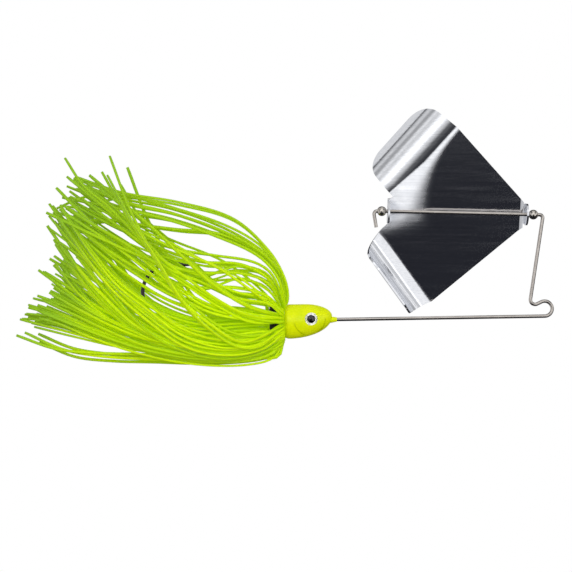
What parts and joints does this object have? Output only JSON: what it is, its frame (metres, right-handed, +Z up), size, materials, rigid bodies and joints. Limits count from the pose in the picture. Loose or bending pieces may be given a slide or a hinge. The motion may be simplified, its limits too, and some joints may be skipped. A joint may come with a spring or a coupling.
{
  "type": "fishing lure",
  "caption": "Surface fishing lure: a bent wire carries a free-spinning two-winged metal blade above a painted lead head with a skirted single hook.",
  "frame": {"origin": "centre of the line-tie bend at the front of the wire, on the wire's middle plane", "axes": "+X forward along the lower wire arm, +Z up in the running attitude with the blade above the head, +Y to the lure's left"},
  "size_m": [0.1706, 0.045, 0.0818],
  "materials": {
    "stainless_wire": "satin",
    "black_nickel": "gloss",
    "head_paint": "gloss",
    "blade_aluminium": "polished",
    "bead_nickel": "polished",
    "eye_foil": "satin",
    "eye_pupil": "gloss",
    "eye_dome": "polished",
    "black_rubber": "matte",
    "skirt_strands": "satin"
  },
  "bodies": {
    "lure": {"wire_frame": "stainless_wire", "hook": "black_nickel", "head_casting": "head_paint", "eye_foil_right": "eye_foil", "eye_pupil_right": "eye_pupil", "eye_dome_right": "eye_dome", "eye_foil_left": "eye_foil", "eye_pupil_left": "eye_pupil", "eye_dome_left": "eye_dome", "skirt_band": "black_rubber", "skirt_core": "skirt_strands", "skirt_top_right": "skirt_strands", "skirt_upper_right": "skirt_strands", "skirt_crossing_right": "skirt_strands", "skirt_sweeping_right": "skirt_strands", "skirt_bottom_right": "skirt_strands", "skirt_top_left": "skirt_strands", "skirt_upper_left": "skirt_strands", "skirt_crossing_left": "skirt_strands", "skirt_sweeping_left": "skirt_strands", "skirt_bottom_left": "skirt_strands"},
    "blade": {"blade": "blade_aluminium"},
    "front_bead": {"front_bead": "bead_nickel"},
    "rear_bead": {"rear_bead": "bead_nickel"}
  },
  "joints": [
    {"name": "blade_spin", "type": "hinge", "parent": "lure", "child": "blade", "pos_m": [-0.05164, 0, 0.03201], "axis": [0.9992, 0, -0.0387], "continuous": true},
    {"name": "front_bead_spin", "type": "hinge", "parent": "lure", "child": "front_bead", "pos_m": [-0.05164, 0, 0.03201], "axis": [0.9992, 0, -0.0387], "continuous": true},
    {"name": "rear_bead_spin", "type": "hinge", "parent": "lure", "child": "rear_bead", "pos_m": [-0.05164, 0, 0.03201], "axis": [0.9992, 0, -0.0387], "continuous": true}
  ]
}
